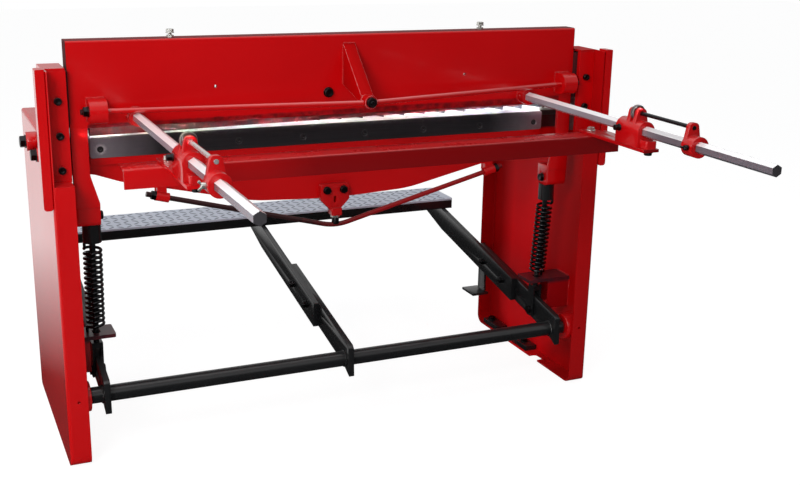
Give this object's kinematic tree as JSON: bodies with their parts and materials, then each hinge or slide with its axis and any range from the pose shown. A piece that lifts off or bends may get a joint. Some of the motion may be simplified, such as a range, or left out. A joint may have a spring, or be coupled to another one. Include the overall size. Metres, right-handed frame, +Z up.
{
  "type": "guillotine shear",
  "caption": "Floor-standing foot-operated sheet metal shear: raked blade on a sliding ram, treadle with return springs, finger hold-down and adjustable back gauge on rods.",
  "frame": {"origin": "On the floor, midway between the side frames' bottom flanges, at the centre of the floor anchor pattern.", "axes": "+Z up, +Y away from the operator towards the back gauge, +X to the operator's right."},
  "size_m": [1.665, 1.947, 1.123],
  "materials": {
    "red_paint": "gloss",
    "black_steel": "satin",
    "blade_steel": "ground",
    "ground_steel": "ground",
    "chrome": "polished",
    "tread_paint": "satin"
  },
  "bodies": {
    "frame": {"side_frame_left": "red_paint", "side_frame_right": "red_paint", "post_bars": "red_paint", "front_guides": "ground_steel", "rear_gibs": "red_paint", "gib_screws": "black_steel", "side_bosses": "red_paint", "frame_bolts": "black_steel", "anchor_pads": "black_steel", "bed_table": "red_paint", "bed_beam": "red_paint", "bed_skirt": "red_paint", "lower_blade": "blade_steel", "lower_blade_screws": "ground_steel", "bed_truss_rod": "red_paint", "bed_truss_fittings": "black_steel", "bed_truss_bracket": "red_paint", "spring_shelf_left": "red_paint", "spring_shelf_right": "red_paint", "main_spring_left": "black_steel", "main_spring_right": "black_steel", "treadle_bearings": "red_paint", "hold_down_pins": "chrome", "hold_down_springs": "chrome"},
    "ram": {"ram_beam": "red_paint", "ram_leg_left": "red_paint", "ram_leg_right": "red_paint", "upper_blade": "blade_steel", "upper_blade_screws": "ground_steel", "ram_gusset": "red_paint", "ram_truss_rod": "red_paint", "ram_truss_nuts": "black_steel", "ram_bolts": "chrome", "leg_pivot_pins": "black_steel", "spring_cups": "black_steel", "gauge_rod_left": "chrome", "gauge_rod_right": "chrome", "gauge_rod_bosses": "red_paint"},
    "treadle": {"treadle_shaft": "black_steel", "rear_arms": "black_steel", "front_arms": "black_steel", "tread_plate": "tread_paint", "tread_angles": "black_steel", "arm_bolts": "black_steel", "stop_foot": "black_steel", "link_pins": "black_steel"},
    "link_left": {"link_left": "black_steel"},
    "link_right": {"link_right": "black_steel"},
    "hold_down": {"hold_down_bar": "blade_steel"},
    "gauge_rear": {"rear_clamp_left": "red_paint", "rear_clamp_right": "red_paint", "adjusting_screws": "chrome"},
    "gauge_front": {"front_carriage_left": "red_paint", "front_carriage_right": "red_paint", "gauge_bar": "red_paint", "gauge_bolts": "black_steel"},
    "wheel_left": {"adjusting_wheel_left": "ground_steel"},
    "wheel_right": {"adjusting_wheel_right": "ground_steel"},
    "wing_left": {"wing_screw_left": "black_steel"},
    "wing_right": {"wing_screw_right": "chrome"}
  },
  "joints": [
    {"name": "ram_slide", "type": "slide", "parent": "frame", "child": "ram", "axis": [0, 0, -1], "range_m": [0, 0.0373], "stiffness_N_per_m": 42000, "springref_m": -0.12, "deforming": ["main_spring_left", "main_spring_right"]},
    {"name": "treadle_swing", "type": "hinge", "parent": "frame", "child": "treadle", "pos_m": [0, 0.26, 0.178], "axis": [1, 0, 0], "range_deg": [0, 19.02]},
    {"name": "link_left_swing", "type": "hinge", "parent": "ram", "child": "link_left", "pos_m": [-0.685, 0.195, 0.65], "axis": [1, 0, 0], "range_deg": [-1, 0.5]},
    {"name": "link_right_swing", "type": "hinge", "parent": "ram", "child": "link_right", "pos_m": [0.685, 0.195, 0.65], "axis": [1, 0, 0], "range_deg": [-1, 0.5]},
    {"name": "hold_down_slide", "type": "slide", "parent": "frame", "child": "hold_down", "axis": [0, 0, -1], "range_m": [0, 0.00475], "deforming": ["hold_down_springs"]},
    {"name": "back_gauge_slide", "type": "slide", "parent": "ram", "child": "gauge_rear", "axis": [0, 1, 0], "range_m": [-0.29, 0.2]},
    {"name": "gauge_fine_slide", "type": "slide", "parent": "gauge_rear", "child": "gauge_front", "axis": [0, 1, 0], "range_m": [-0.008, 0.008]},
    {"name": "wheel_left_turn", "type": "hinge", "parent": "gauge_front", "child": "wheel_left", "pos_m": [-0.565, 0.7905, 0.952], "axis": [0, 1, 0], "continuous": true},
    {"name": "wheel_right_turn", "type": "hinge", "parent": "gauge_front", "child": "wheel_right", "pos_m": [0.565, 0.7905, 0.952], "axis": [0, 1, 0], "continuous": true},
    {"name": "wing_left_turn", "type": "hinge", "parent": "gauge_rear", "child": "wing_left", "pos_m": [-0.54, 1.025, 0.91], "axis": [1, 0, 0], "range_deg": [-180, 0]},
    {"name": "wing_right_turn", "type": "hinge", "parent": "gauge_rear", "child": "wing_right", "pos_m": [0.59, 1.025, 0.91], "axis": [1, 0, 0], "range_deg": [-180, 0]}
  ],
  "couplings": [
    {"joint": "treadle_swing", "follows": "ram_slide", "rad_per_m": 8.8904},
    {"joint": "link_left_swing", "follows": "ram_slide", "rad_per_m": -0.21056},
    {"joint": "link_right_swing", "follows": "ram_slide", "rad_per_m": -0.21056},
    {"joint": "hold_down_slide", "follows": "ram_slide", "ratio": 0.12735}
  ]
}
